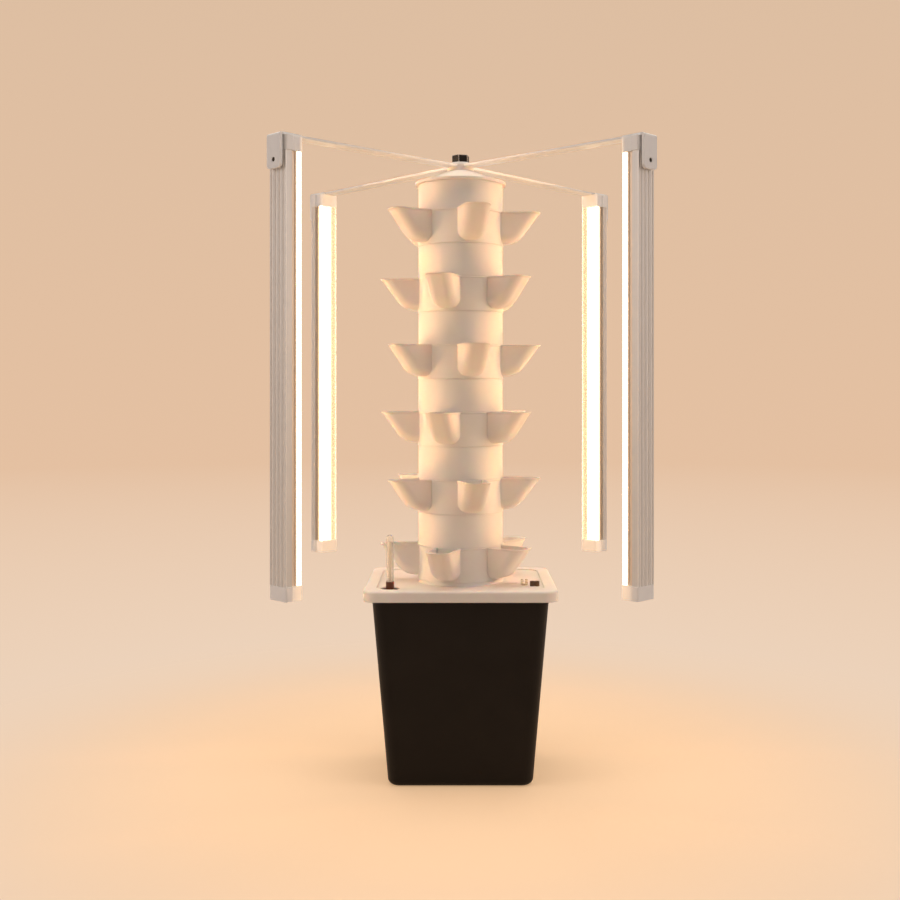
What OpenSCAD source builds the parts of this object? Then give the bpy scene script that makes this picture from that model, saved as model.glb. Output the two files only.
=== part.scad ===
// Hydroponic tower garden: a water tank with a lid, six stacked planting rings
// on spacer tubes, and four hanging light bars around them. Millimetres, +Z up.
// The origin is on the floor, on the tower's axis, and the front faces -Y.

/* [Tank] */
// Height of the tank, floor to rim
tank_h = 341; // [300:1:400]
// Width of the tank across its front, at the floor
tank_base_w = 256; // [236:1:300]
// Depth of the tank, front to back, at the floor
tank_base_d = 194; // [180:1:240]
// How much wider and deeper the tank is at its rim
tank_draft = 53; // [30:1:70]
// Radius of the tank's upright corners
tank_corner_r = 22; // [16:1:30]
// Rounding along the tank's bottom edge
tank_foot_r = 12; // [4:1:15]
// Depth cut off the rounded foot so that the tank stands flat
tank_flat = 0.5; // [0.2:0.1:1]
// Wall and floor thickness of the tank
tank_wall = 3; // [2:0.5:5]
// Reach of the rim flange beyond the wall
flange_reach = 8.5; // [5:0.5:15]
// Thickness of the rim flange
flange_t = 4; // [2:0.5:6]
// Corner radius of the rim flange
flange_r = 20; // [14:1:28]

/* [Lid] */
// Gap between the rim flange and the lid's skirt
lid_gap = 1.5; // [0.5:0.1:3]
// Wall of the lid's skirt
lid_wall = 3.5; // [2:0.5:5]
// Thickness of the lid at its raised border
lid_plate_t = 6; // [4:0.5:9]
// Depth of the skirt below the plate
lid_skirt_h = 13; // [8:1:20]
// Width of the raised border
lid_border = 22; // [14:1:26]
// Depth of the panel inside the border
lid_recess = 2; // [1:0.5:2.5]
// Rounding of the lid's top edge
lid_edge_r = 4; // [2:0.5:5]
// Height of the collar that carries the tower
collar_h = 4; // [2:0.5:12]
// Depth of the collar below the plate
collar_drop = 8; // [4:1:12]
// Length of the vent slot beside the tower
vent_l = 24; // [12:1:30]
// Width of the vent slot
vent_w = 6; // [3:0.5:8]
// Distance of the vent slot in front of the tower's axis
vent_front = 36; // [20:1:45]

/* [Tower] */
// Outside diameter of the spacer tubes
tube_d = 153; // [145:1:158]
// Wall of tubes and rings
tube_wall = 3; // [2:0.5:4]
// Step by which a ring stands out from the tubes
ring_step = 1.1; // [0.5:0.1:2]
// Height of a planting ring
ring_h = 61; // [60:1:80]
// Length of a spacer tube between two rings
spacer_h = 59; // [40:1:90]
// Length of the highest spacer tube
top_spacer_h = 50; // [40:1:90]
// Length of the spigot under each ring, tube and cap
spigot_h = 12; // [6:1:12]
// Height of the inside shoulder above a spigot
shoulder_h = 3.5; // [2:0.5:3.5]
// Radial clearance of a spigot in its socket
spigot_gap = 0.3; // [0.2:0.05:0.5]
// Turn of the odd rings' front cup, seen from above
odd_turn = -17.5; // [-36:0.5:36]
// Turn of the even rings' front cup, seen from above
even_turn = 13.5; // [-36:0.5:36]

/* [Cups] */
// Cups around each ring
cup_count = 5; // [3:1:5]
// Reach of a cup's lip beyond its ring
cup_out = 66.4; // [55:0.2:68]
// Outside width of a cup
cup_w = 46; // [40:1:60]
// Depth of a cup from lip to lowest point
cup_depth = 56; // [50:1:57]
// Radius of the bend from a cup's front into its bottom
cup_bend_r = 43.5; // [30:0.5:46]
// Rounding of a cup's two long edges
cup_edge_r = 16; // [8:1:20]
// Slope of a cup's front, in degrees from level
cup_slope = 53.5; // [48:0.5:65]
// Wall of a cup
cup_wall = 2.8; // [2:0.1:3.5]
// Height of the lip round a ring and its cups
lip_h = 2.5; // [1.5:0.5:5]
// Reach of the lip beyond the walls
lip_out = 1; // [0.5:0.1:2]

/* [Top cap and hub] */
// Reach of the cap's flange beyond the tube
cap_reach = 6; // [3:0.5:9]
// Thickness of the cap's flange
cap_flange_t = 5; // [3:0.5:8]
// Height of the cap's cone
cap_cone_h = 21; // [15:1:45]
// Radius of the cap's flat top
cap_top_r = 26; // [24.5:0.5:35]
// Wall of the cap
cap_wall = 4; // [3:0.5:6]
// Radius of the hub that holds the arms
hub_r = 24; // [22:0.5:24]
// Height of the hub
hub_h = 11; // [9:0.5:18]
// Radius of the washer under the knob
washer_r = 19; // [17:0.5:21.5]
// Thickness of the washer
washer_t = 5; // [1.5:0.5:6]
// Radius of the knob over its corners
knob_r = 16.5; // [14:0.5:20]
// Height of the knob
knob_h = 14; // [12:0.5:20]
// Bevel of the knob's corners, above and below
knob_bevel = 1.5; // [0.5:0.5:2.5]
// Turn of the knob, seen from above
knob_turn = 19; // [0:1:60]
// Radius of the stud
stud_r = 4; // [3:0.5:5]
// Reach of the stud into the knob
stud_reach = 10; // [6:0.5:10]
// Radius of the stud's head over its corners
stud_head_r = 8; // [6.5:0.5:10]
// Thickness of the stud's head
stud_head_t = 5; // [3:0.5:7]

/* [Light arms] */
// Distance of a light bar's centre from the tower's axis
bar_radius = 395; // [340:1:440]
// Turn of the light frame on the cap, seen from above
frame_turn = 0.54; // [-45:0.01:45]
// Width of an arm
arm_w = 25; // [18:0.5:26]
// Thickness of an arm
arm_t = 4; // [3:0.5:6]
// Distance of an arm's inner end from the axis
arm_root = 14; // [13.5:0.5:15]
// Fall of an arm from the hub to the light bar
arm_drop = 4.3; // [0:0.1:8]
// Width of the tab at an arm's end
tab_w = 34; // [28:1:40]
// Height of the tab
tab_h = 56; // [50:1:80]
// Thickness of the tab
tab_t = 5; // [4:0.5:8]
// Rounding of the tab's lower corners
tab_r = 7; // [3:1:12]
// Bend radius where the arm turns down into its tab
tab_bend_r = 4; // [1:0.5:4]
// Gap between the tab and the light bar's back
tab_gap = 3.5; // [2:0.5:6]
// Wall of the boss that holds the tab off the light bar
boss_wall = 2.5; // [1.5:0.5:3]
// Height of the screw above the tab's lower edge
screw_up = 14; // [10:1:16]
// Radius of the screw's thread
screw_r = 2; // [1.5:0.25:2.5]
// Radius of the screw's head
screw_head_r = 3.6; // [3:0.2:4.2]
// Thickness of the screw's head
screw_head_t = 1.4; // [1:0.1:1.6]
// Depth of the counterbore that takes the screw's head
screw_sink = 1.6; // [1.4:0.1:2.4]

/* [Light bars] */
// Length of a light bar with its end caps
bar_len = 731; // [500:1:760]
// Width of the aluminium housing
housing_w = 41; // [39:0.5:50]
// Depth of the ribbed back of the housing
housing_d = 12.5; // [10:0.5:16]
// Wall of the housing
housing_wall = 2.5; // [2:0.25:3]
// Grooves along the housing's back
groove_count = 4; // [2:1:5]
// Width of a groove
groove_w = 4; // [2:0.5:5]
// Depth of a groove
groove_d = 1.2; // [0.5:0.1:1.5]
// Depth of the recess between back and diffuser
recess_d = 9.5; // [5:0.5:12]
// Set-back of that recess on each side
recess_in = 4; // [2:0.5:6]
// Thickness of the plate that carries the LED board
front_t = 1.5; // [1:0.25:2.5]
// Width of the diffuser
diffuser_w = 38; // [34:0.5:38.5]
// Depth of the diffuser
diffuser_d = 12; // [10:0.5:18]
// Wall of the diffuser
diffuser_wall = 1.8; // [1:0.1:2.5]
// Rounding of the diffuser's front edges
diffuser_r = 4; // [2:0.5:6]
// Width of the LED board
board_w = 24; // [16:1:28]
// Thickness of the LED board
board_t = 1.6; // [1:0.2:2.4]
// Spacing of the LEDs along the board
led_pitch = 28; // [14:1:40]
// Side of one LED
led_side = 5; // [3:0.5:7]
// Height of one LED
led_t = 1; // [0.5:0.1:2]
// Height of the upper end cap
top_end_h = 23.5; // [20:0.5:35]
// Height of the lower end cap
bottom_end_h = 23; // [18:1:35]
// Lip by which an end cap stands out from the housing
end_lip = 1.6; // [0.5:0.1:2]
// Lip by which an end cap's nose stands out from the diffuser
nose_lip = 0.4; // [0.2:0.1:1]
// Rounding of an end cap's upright edges
end_r = 3; // [1:0.5:5]
// Length of the plug that an end cap pushes into the housing
plug_h = 8; // [4:1:12]
// Clearance of a plug or screw in its hole
plug_gap = 0.2; // [0.1:0.05:0.4]

/* [Water gauge] */
// Distance of the gauge from the lid's left edge
gauge_left = 45; // [42:0.5:46]
// Distance of the gauge from the lid's front edge
gauge_front = 44; // [43:0.5:46]
// Diameter of the filler hole around the gauge
filler_d = 33; // [28:1:34]
// Outside diameter of the clear tube
gauge_d = 13; // [10:0.5:14]
// Wall of the clear tube
gauge_wall = 1.5; // [1:0.25:2]
// Height of the tube and collar above the guide
gauge_h = 96; // [70:1:100]
// Diameter of the collar at the tube's foot
gauge_collar_d = 14.5; // [13:0.5:16]
// Height of the collar
gauge_collar_h = 14; // [8:1:20]
// Diameter of the thin rod
rod_d = 5; // [3:0.5:6]
// Distance of the rod's end below the clear tube's top
rod_short = 13; // [8:1:20]
// Rise of the float from empty to full
float_travel = 68; // [30:1:70]
// Room left above the float when it is full
float_room = 1; // [0.5:0.5:3]
// Diameter of the float
float_d = 20; // [14:1:20]
// Height of the float
float_h = 40; // [25:1:50]
// Reach of the guide's flange beyond the filler hole
guide_reach = 2.5; // [1.5:0.5:3]
// Thickness of the guide's flange and spokes
guide_t = 2; // [1.5:0.25:3]
// Wall of the guide's barrel and hub
guide_wall = 1.8; // [1.2:0.2:2.4]
// Width of a guide spoke
spoke_w = 3; // [2:0.5:4]
// Clearance of the rod in the guide
rod_gap = 0.3; // [0.2:0.05:0.5]

/* [Cable gland and clip] */
// Distance of the gland from the lid's right edge
gland_right = 37; // [34:0.5:48]
// Distance of the gland from the lid's front edge
gland_front = 71; // [56:1:90]
// Diameter of each of the gland's two lobes
gland_d = 8.8; // [7:0.2:10]
// Width of the gland between its lobes
gland_waist = 6.2; // [5:0.2:7]
// Spacing of the two lobes
gland_pitch = 8.2; // [6:0.2:9]
// Height of the gland above the lid's panel
gland_h = 8.5; // [5:0.5:12]
// Diameter of each cable hole
cable_d = 5; // [3:0.5:6]
// Distance of the clip to the left of the gland
clip_left = 18; // [16:1:26]
// Distance of the clip behind the gland
clip_back = 9; // [0:1:14]
// Width of the clip
clip_w = 12; // [8:1:12]
// Height of the clip
clip_h = 10; // [7:0.5:14]
// Width of the clip's slot for a flat cable
clip_slot = 3.6; // [2:0.2:5]
// Thickness of the clip's floor
clip_t = 2; // [1.5:0.25:2.5]
// Length of the clip, front to back
clip_l = 8; // [5:1:12]

/* [Pump and riser] */
// Width of the pump's body
pump_w = 62; // [50:1:80]
// Length of the pump's body
pump_l = 44; // [40:1:60]
// Height of the pump's body
pump_h = 48; // [42:1:60]
// Rounding of the pump's upright edges
pump_edge_r = 6; // [2:1:10]
// Height of the suction feet
foot_h = 6; // [4:1:12]
// Radius of a suction foot
foot_r = 8; // [5:1:10]
// Distance of a foot's centre from the pump's sides
foot_inset = 11; // [10:1:14]
// Radius of the impeller's chamber
chamber_r = 17; // [15:0.5:19]
// Depth of the chamber
chamber_l = 14; // [12:0.5:18]
// Radius of the rotor's well behind the chamber
well_r = 10.5; // [8:0.5:12]
// Depth of the well
well_l = 20; // [14:1:22]
// Tip clearance of the impeller and rotor
rotor_gap = 1; // [0.5:0.1:1.5]
// Radius of the impeller's hub
impeller_hub_r = 4.5; // [4:0.5:6]
// Thickness of the disc that carries the blades
disc_t = 2; // [1:0.5:3]
// Number of impeller blades
blade_count = 6; // [4:1:8]
// Thickness of a blade
blade_t = 2; // [1:0.5:3]
// Radius of the impeller's shaft
shaft_r = 1.5; // [1:0.25:2.5]
// Running clearance of the impeller on its shaft
run_gap = 0.05; // [0.02:0.01:0.1]
// Length of shaft held at each end
shaft_seat = 3; // [2:0.5:5]
// Depth of the strainer cover
cover_l = 10; // [8:0.5:16]
// Height of the strainer cover
cover_h = 42; // [40:0.5:42]
// Wall of the strainer cover
cover_wall = 2.5; // [1.5:0.5:3]
// Width of a strainer slot
slot_w = 3; // [2:0.5:4]
// Spacing of the strainer slots
slot_pitch = 6; // [5:0.5:8]
// Length of a strainer slot
slot_l = 32; // [20:1:32]
// Inside radius of the riser pipe
riser_bore_r = 8; // [6:0.5:10]
// Wall of the riser pipe
riser_wall = 2.4; // [1.5:0.1:4]
// Wall of the pump's outlet spigot
outlet_wall = 2; // [1.5:0.5:3]
// Length of the pump's outlet spigot
outlet_h = 18; // [10:1:30]
// Radius of the spray head
spray_r = 28; // [20:1:45]
// Height of the spray head
spray_h = 22; // [18:1:30]
// Depth of the riser's socket in the spray head
spray_socket = 11; // [6:1:12]
// Wall round the spray head's hollow
plenum_wall = 3; // [2:0.5:4]
// Drop of the spray head below the cap's spigot
spray_drop = 6; // [2:1:20]
// Number of spray holes
spray_holes = 8; // [4:1:16]
// Radius of a spray hole
spray_hole_r = 1.5; // [1:0.25:2]

/* [Hidden] */
$fn = 64;
// Fineness of shapes that are blended by a hull
hull_fn = 32;
// Overshoot of a cut past the face that it opens
cut = 1;
TIERS = 6;
CORNERS = 4;

// Tank and lid
tank_top_w = tank_base_w + tank_draft;
tank_top_d = tank_base_d + tank_draft;
flange_w = tank_top_w + 2 * flange_reach;
flange_depth = tank_top_d + 2 * flange_reach;
lid_w = flange_w + 2 * (lid_gap + lid_wall);
lid_d = flange_depth + 2 * (lid_gap + lid_wall);
lid_r = flange_r + lid_gap + lid_wall;
lid_top = tank_h + lid_plate_t;
panel_z = lid_top - lid_recess;

// Tower: every ring, tube and cap has a spigot below and a socket above
tube_r = tube_d / 2;
ring_r = tube_r + ring_step;
tube_bore_r = tube_r - tube_wall;
ring_bore_r = ring_r - tube_wall;
ring_spigot_r = tube_bore_r - spigot_gap;
tube_spigot_r = ring_bore_r - spigot_gap;
tower_z = lid_top + collar_h;
tier_h = ring_h + spacer_h;
cap_z = tower_z + (TIERS - 1) * tier_h + ring_h + top_spacer_h;

// Cups: the bend's centre, measured from the tower's axis and the rim
cup_edge = min(cup_edge_r, cup_w / 2 - cup_wall);
bend_z = cup_bend_r - cup_depth;
bend_x = ring_r + cup_out - (cup_bend_r - bend_z * cos(cup_slope)) / sin(cup_slope);
cup_clear_r = ring_r + cup_out + cup_w;

// Cap, hub and arms
cap_r = tube_r + cap_reach;
cap_top_z = cap_z + cap_flange_t + cap_cone_h;
hub_top_z = cap_top_z + hub_h;
arm_z = hub_top_z - arm_t;
knob_z = hub_top_z + washer_t;
stud_hole_r = stud_r + spigot_gap;
knob_bore_r = stud_r + run_gap;

// Light bar section: u runs outward from the bar's centre
bar_d = housing_d + recess_d + diffuser_d;
back_u = (bar_d - tab_gap) / 2;
neck_u = back_u - housing_d;
front_u = neck_u - recess_d;
lens_u = front_u - diffuser_d;
neck_w = housing_w - 2 * recess_in;
back_wall = housing_wall + groove_d;
tab_u = back_u + tab_gap;
bar_top_z = arm_z - arm_drop;
bar_bottom_z = bar_top_z - bar_len;
housing_z0 = bar_bottom_z + bottom_end_h;
housing_z1 = bar_top_z - top_end_h;
tab_bottom_z = bar_top_z + arm_t - tab_h;
bend_r = min(tab_bend_r, tab_t - cut);
screw_z = tab_bottom_z + screw_up;
screw_hole_r = screw_r + plug_gap;
screw_seat_u = tab_u + tab_t - screw_sink;

// Water gauge
gauge_x = -lid_w / 2 + gauge_left;
gauge_y = -lid_d / 2 + gauge_front;
filler_r = filler_d / 2;
guide_z = tank_h - guide_t;
guide_top_z = tank_h + guide_t;
rod_r = rod_d / 2;
guide_hub_r = rod_r + rod_gap + guide_wall;
float_top_z = guide_z - float_travel - float_room;
collar_top_z = guide_top_z + gauge_collar_h;
gauge_top_z = guide_top_z + gauge_h;

// Gland and clip
gland_x = lid_w / 2 - gland_right;
gland_y = -lid_d / 2 + gland_front;
gland_r = gland_d / 2;
clip_x = gland_x - clip_left;
clip_y = gland_y + clip_back;
vent_x = ring_r + vent_l / 2;

// Pump: its outlet stands on the tower's axis, its shaft lies front to back
pump_z = tank_wall + foot_h;
pump_front = -chamber_l / 2;
shaft_z = pump_z + pump_h / 2;
outlet_z = pump_z + pump_h;
riser_r = riser_bore_r + riser_wall;
outlet_r = riser_bore_r - plug_gap;
spray_top_z = cap_z - spigot_h - spray_drop;
spray_z = spray_top_z - spray_h;
riser_seat_z = spray_z + spray_socket;

// Height of tier i's rim, where its ring meets its spacer tube
function rim_z(i) = tower_z + (i - 1) * tier_h + ring_h;

// Turn of tier i's first cup about the axis, from +X
function ring_turn(i) = -90 + (i % 2 == 1 ? odd_turn : even_turn);

// Turn of light corner k about the axis: 1 front left, 2 front right, 3 and 4 behind
function corner_turn(k) = frame_turn - 135 + (k - 1) * 360 / CORNERS;

// Flat rectangle with round corners, centred
module round_rect(w, d, r) {
    square([w, d - 2 * r], center = true);
    square([w - 2 * r, d], center = true);
    for (x = [-1, 1], y = [-1, 1])
        translate([x * (w / 2 - r), y * (d / 2 - r)])
            circle(r);
}

// Flat U-shape: open towards -X, its two corners at +X rounded
module round_u(back, front, w, r) {
    translate([-back, -w / 2])
        square([back + front - r, w]);
    translate([-back, r - w / 2])
        square([back + front, w - 2 * r]);
    for (y = [-1, 1])
        translate([front - r, y * (w / 2 - r)])
            circle(r);
}

// Places a shape at the four inner corner centres of a rectangle
module at_corners(w, d, r) {
    for (x = [-1, 1], y = [-1, 1])
        translate([x * (w / 2 - r), y * (d / 2 - r)])
            children();
}

// Solid tapered block with round corners and a rounded foot
module tapered_block(w0, d0, w1, d1, z0, z1, corner, foot) {
    hull() {
        at_corners(w0, d0, corner)
            translate([0, 0, z0])
                rotate_extrude($fn = hull_fn)
                    intersection() {
                        translate([corner - foot, foot])
                            circle(foot, $fn = hull_fn);
                        square([corner, foot]);
                    }
        at_corners(w1, d1, corner)
            translate([0, 0, z1 - cut])
                cylinder(r = corner, h = cut, $fn = hull_fn);
    }
}

module reservoir_tank() {
    inner_foot = max(tank_foot_r - tank_wall, cut);
    inner_corner = tank_corner_r - tank_wall;
    color("#1d1b1a")
        difference() {
            union() {
                tapered_block(tank_base_w, tank_base_d, tank_top_w, tank_top_d,
                    -tank_flat, tank_h, tank_corner_r, tank_foot_r);
                translate([0, 0, tank_h - flange_t])
                    linear_extrude(flange_t)
                        round_rect(flange_w, flange_depth, flange_r);
            }
            tapered_block(tank_base_w - 2 * tank_wall, tank_base_d - 2 * tank_wall,
                tank_top_w - 2 * tank_wall, tank_top_d - 2 * tank_wall,
                tank_wall, tank_h + cut, inner_corner, inner_foot);
            // Trims the underside to one flat face on the floor
            translate([0, 0, -tank_wall])
                linear_extrude(tank_wall)
                    square([flange_w, flange_depth], center = true);
        }
}

module reservoir_lid() {
    color("#f1efea")
        difference() {
            union() {
                hull()
                    at_corners(lid_w, lid_d, lid_r)
                        translate([0, 0, tank_h - lid_skirt_h])
                            rotate_extrude($fn = hull_fn) {
                                square([lid_r, lid_skirt_h + lid_plate_t - lid_edge_r]);
                                translate([lid_r - lid_edge_r, lid_skirt_h + lid_plate_t - lid_edge_r])
                                    intersection() {
                                        circle(lid_edge_r, $fn = hull_fn);
                                        square(lid_edge_r);
                                    }
                                square([lid_r - lid_edge_r, lid_skirt_h + lid_plate_t]);
                            }
                translate([0, 0, tank_h])
                    cylinder(r = ring_r, h = lid_plate_t + collar_h);
            }
            // Hollow that takes the tank's rim, round the collar's lower end
            difference() {
                translate([0, 0, tank_h - lid_skirt_h - cut])
                    linear_extrude(lid_skirt_h + cut)
                        round_rect(flange_w + 2 * lid_gap, flange_depth + 2 * lid_gap, flange_r + lid_gap);
                translate([0, 0, tank_h - collar_drop])
                    cylinder(r = ring_r, h = collar_drop + cut);
            }
            // Sunk panel round the collar
            difference() {
                translate([0, 0, panel_z])
                    linear_extrude(lid_recess + cut)
                        round_rect(lid_w - 2 * lid_border, lid_d - 2 * lid_border, lid_r);
                translate([0, 0, panel_z - cut])
                    cylinder(r = ring_r, h = lid_recess + 3 * cut);
            }
            translate([0, 0, tank_h - collar_drop - cut])
                cylinder(r = tube_bore_r, h = collar_drop + lid_plate_t + collar_h + 2 * cut);
            translate([gauge_x, gauge_y, tank_h - cut])
                cylinder(r = filler_r, h = lid_plate_t + 2 * cut);
            translate([0, 0, tank_h - cut])
                linear_extrude(lid_plate_t + 2 * cut) {
                    gland_outline(plug_gap);
                    translate([vent_x, -vent_front]) {
                        square([vent_l - vent_w, vent_w], center = true);
                        for (x = [-1, 1])
                            translate([x * (vent_l - vent_w) / 2, 0])
                                circle(d = vent_w);
                    }
                }
        }
}

// One cup as a solid sleeve bent from slanting to level, shrunk by inset on every side
module cup_block(inset) {
    r = cup_bend_r - inset;
    w = cup_w - 2 * inset;
    edge = cup_edge - inset;
    length = (r * cos(cup_slope) - bend_z + cut) / sin(cup_slope);
    translate([bend_x, 0, bend_z]) {
        rotate([90, 0, 0])
            rotate([0, 0, cup_slope - 270])
                rotate_extrude(angle = 180)
                    round_u(0, r, w, edge);
        rotate([0, 90 - cup_slope, 0])
            linear_extrude(length)
                round_u(cup_bend_r, r, w, edge);
    }
}

// Band that stands out along the rim of a ring and its cups
module lip() {
    translate([0, 0, -lip_h])
        cylinder(r = ring_r + lip_out, h = lip_h);
    intersection() {
        translate([0, 0, -lip_h])
            cylinder(r = cup_clear_r, h = lip_h);
        for (c = [0:cup_count - 1])
            rotate([0, 0, c * 360 / cup_count])
                cup_block(-lip_out);
    }
}

module planting_ring(i) {
    top = rim_z(i);
    color("#f3f1ec")
        translate([0, 0, top])
            rotate([0, 0, ring_turn(i)])
                difference() {
                    union() {
                        translate([0, 0, -ring_h])
                            cylinder(r = ring_r, h = ring_h);
                        translate([0, 0, -ring_h - spigot_h])
                            cylinder(r = ring_spigot_r, h = spigot_h + shoulder_h);
                        for (c = [0:cup_count - 1])
                            rotate([0, 0, c * 360 / cup_count])
                                cup_block(0);
                        lip();
                    }
                    // Rim plane that all cups share
                    cylinder(r = cup_clear_r, h = 2 * cup_bend_r);
                    translate([0, 0, shoulder_h - ring_h])
                        cylinder(r = ring_bore_r, h = ring_h + cut);
                    translate([0, 0, -ring_h - spigot_h - cut])
                        cylinder(r = ring_spigot_r - tube_wall, h = spigot_h + shoulder_h + 2 * cut);
                    // Pockets, open to the bore below the unbroken band at the rim
                    for (c = [0:cup_count - 1])
                        rotate([0, 0, c * 360 / cup_count])
                            difference() {
                                cup_block(cup_wall);
                                translate([0, 0, -spigot_h])
                                    cylinder(r = ring_r, h = spigot_h + cut);
                            }
                }
}

module spacer_tube(i) {
    height = i == TIERS ? top_spacer_h : spacer_h;
    color("#f3f1ec")
        translate([0, 0, rim_z(i)])
            difference() {
                union() {
                    cylinder(r = tube_r, h = height);
                    translate([0, 0, -spigot_h])
                        cylinder(r = tube_spigot_r, h = spigot_h + shoulder_h);
                }
                translate([0, 0, shoulder_h])
                    cylinder(r = tube_bore_r, h = height);
                translate([0, 0, -spigot_h - cut])
                    cylinder(r = tube_spigot_r - tube_wall, h = spigot_h + shoulder_h + 2 * cut);
            }
}

module top_cap() {
    slope = (cap_r - cap_top_r) / cap_cone_h;
    bore = ring_spigot_r - tube_wall;
    cone_z = cap_z + cap_flange_t;
    ceiling_z = cap_top_z - cap_wall;
    color("#f3f1ec")
        rotate_extrude()
            polygon([
                [bore, cap_z - spigot_h],
                [ring_spigot_r, cap_z - spigot_h],
                [ring_spigot_r, cap_z],
                [cap_r, cap_z],
                [cap_r, cone_z],
                [cap_top_r, cap_top_z],
                [stud_hole_r, cap_top_z],
                [stud_hole_r, ceiling_z],
                [cap_top_r, ceiling_z],
                [bore, cone_z + (cap_r - bore) / slope - cap_wall]]);
}

module light_hub() {
    color("#efede8")
        difference() {
            translate([0, 0, cap_top_z])
                cylinder(r = hub_r, h = hub_h);
            translate([0, 0, cap_top_z - cut])
                cylinder(r = stud_hole_r, h = hub_h + 2 * cut);
            for (k = [1:CORNERS])
                rotate([0, 0, corner_turn(k)])
                    translate([arm_root - plug_gap, -arm_w / 2 - plug_gap, arm_z])
                        cube([hub_r, arm_w + 2 * plug_gap, arm_t + cut]);
        }
}

module hub_washer() {
    color("#d9d6d0")
        translate([0, 0, hub_top_z])
            difference() {
                cylinder(r = washer_r, h = washer_t);
                translate([0, 0, -cut])
                    cylinder(r = stud_hole_r, h = washer_t + 2 * cut);
            }
}

module hub_knob() {
    color("#141414")
        translate([0, 0, knob_z])
            difference() {
                intersection() {
                    rotate([0, 0, knob_turn])
                        cylinder(r = knob_r, h = knob_h, $fn = 6);
                    rotate_extrude()
                        polygon([
                            [0, 0],
                            [knob_r - knob_bevel, 0],
                            [knob_r, knob_bevel],
                            [knob_r, knob_h - knob_bevel],
                            [knob_r - knob_bevel, knob_h],
                            [0, knob_h]]);
                }
                translate([0, 0, -cut])
                    cylinder(r = knob_bore_r, h = stud_reach + 2 * cut);
            }
}

module hub_stud() {
    head_z = cap_top_z - cap_wall - stud_head_t;
    color("#b9bcc0") {
        translate([0, 0, head_z])
            cylinder(r = stud_head_r, h = stud_head_t, $fn = 6);
        translate([0, 0, head_z])
            cylinder(r = stud_r, h = knob_z + stud_reach - head_z);
    }
}

// Tab at an arm's end: lower corners rounded, upper edge bent round from the arm
module tab() {
    intersection() {
        rotate([90, 0, 90])
            linear_extrude(tab_t)
                translate([0, tab_h / 2 + tab_r])
                    round_rect(tab_w, tab_h + 2 * tab_r, tab_r);
        rotate([90, 0, 0])
            linear_extrude(tab_w, center = true) {
                square([tab_t, tab_h - bend_r]);
                square([tab_t - bend_r, tab_h]);
                translate([tab_t - bend_r, tab_h - bend_r])
                    circle(bend_r);
            }
    }
}

module light_arm(k) {
    color("#efede8")
        rotate([0, 0, corner_turn(k)])
            difference() {
                union() {
                    // Strip: level in the hub, falling to the light bar, level again over it
                    rotate([90, 0, 0])
                        linear_extrude(arm_w, center = true)
                            polygon([
                                [arm_root, arm_z],
                                [hub_r, arm_z],
                                [bar_radius + lens_u, bar_top_z],
                                [bar_radius + tab_u, bar_top_z],
                                [bar_radius + tab_u, bar_top_z + arm_t],
                                [bar_radius + lens_u, bar_top_z + arm_t],
                                [hub_r, hub_top_z],
                                [arm_root, hub_top_z]]);
                    // Wider plate over the light bar's end
                    translate([bar_radius + lens_u, -tab_w / 2, bar_top_z])
                        cube([tab_u - lens_u + (tab_t - bend_r) / 2, tab_w, arm_t]);
                    translate([bar_radius + tab_u, 0, tab_bottom_z])
                        tab();
                    translate([bar_radius + back_u, 0, screw_z])
                        rotate([0, 90, 0])
                            cylinder(r = screw_hole_r + boss_wall, h = tab_gap + tab_t / 2);
                }
                translate([bar_radius + back_u - cut, 0, screw_z])
                    rotate([0, 90, 0])
                        cylinder(r = screw_hole_r, h = tab_gap + tab_t + 2 * cut);
                translate([bar_radius + screw_seat_u, 0, screw_z])
                    rotate([0, 90, 0])
                        cylinder(r = screw_head_r + plug_gap, h = screw_sink + cut);
            }
}

module bracket_screws() {
    length = screw_seat_u - back_u + back_wall;
    color("#2b2623")
        for (k = [1:CORNERS])
            rotate([0, 0, corner_turn(k)])
                translate([bar_radius + screw_seat_u, 0, screw_z])
                    rotate([0, 90, 0]) {
                        cylinder(r = screw_head_r, h = screw_head_t);
                        translate([0, 0, -length])
                            cylinder(r = screw_r, h = length + screw_head_t);
                    }
}

// Places a light bar's piece at corner k: +X is u, away from the tower
module at_bar(k) {
    rotate([0, 0, corner_turn(k)])
        translate([bar_radius, 0, 0])
            children();
}

// Outside of the housing's section: ribbed back, recessed neck, front plate
module housing_outline() {
    difference() {
        translate([neck_u, -housing_w / 2])
            square([housing_d, housing_w]);
        for (g = [1:groove_count])
            translate([back_u - groove_d, (g - (groove_count + 1) / 2) * housing_w / groove_count])
                translate([0, -groove_w / 2])
                    square([groove_d + cut, groove_w]);
    }
    translate([front_u, -neck_w / 2])
        square([recess_d + cut, neck_w]);
    translate([front_u, -diffuser_w / 2])
        square([front_t, diffuser_w]);
}

// Hollow of the housing's back, which the end caps plug into, shrunk by inset
module housing_hollow(inset) {
    translate([neck_u + housing_wall + inset, -housing_w / 2 + housing_wall + inset])
        square([housing_d - housing_wall - back_wall - 2 * inset, housing_w - 2 * (housing_wall + inset)]);
}

module led_housing(k) {
    color("#c3c4c6")
        at_bar(k)
            difference() {
                translate([0, 0, housing_z0])
                    linear_extrude(housing_z1 - housing_z0)
                        difference() {
                            housing_outline();
                            housing_hollow(0);
                            translate([front_u + front_t, -neck_w / 2 + housing_wall])
                                square([recess_d - front_t, neck_w - 2 * housing_wall]);
                        }
                translate([back_u - back_wall - cut, 0, screw_z])
                    rotate([0, 90, 0])
                        cylinder(r = screw_hole_r, h = back_wall + 2 * cut);
            }
}

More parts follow.
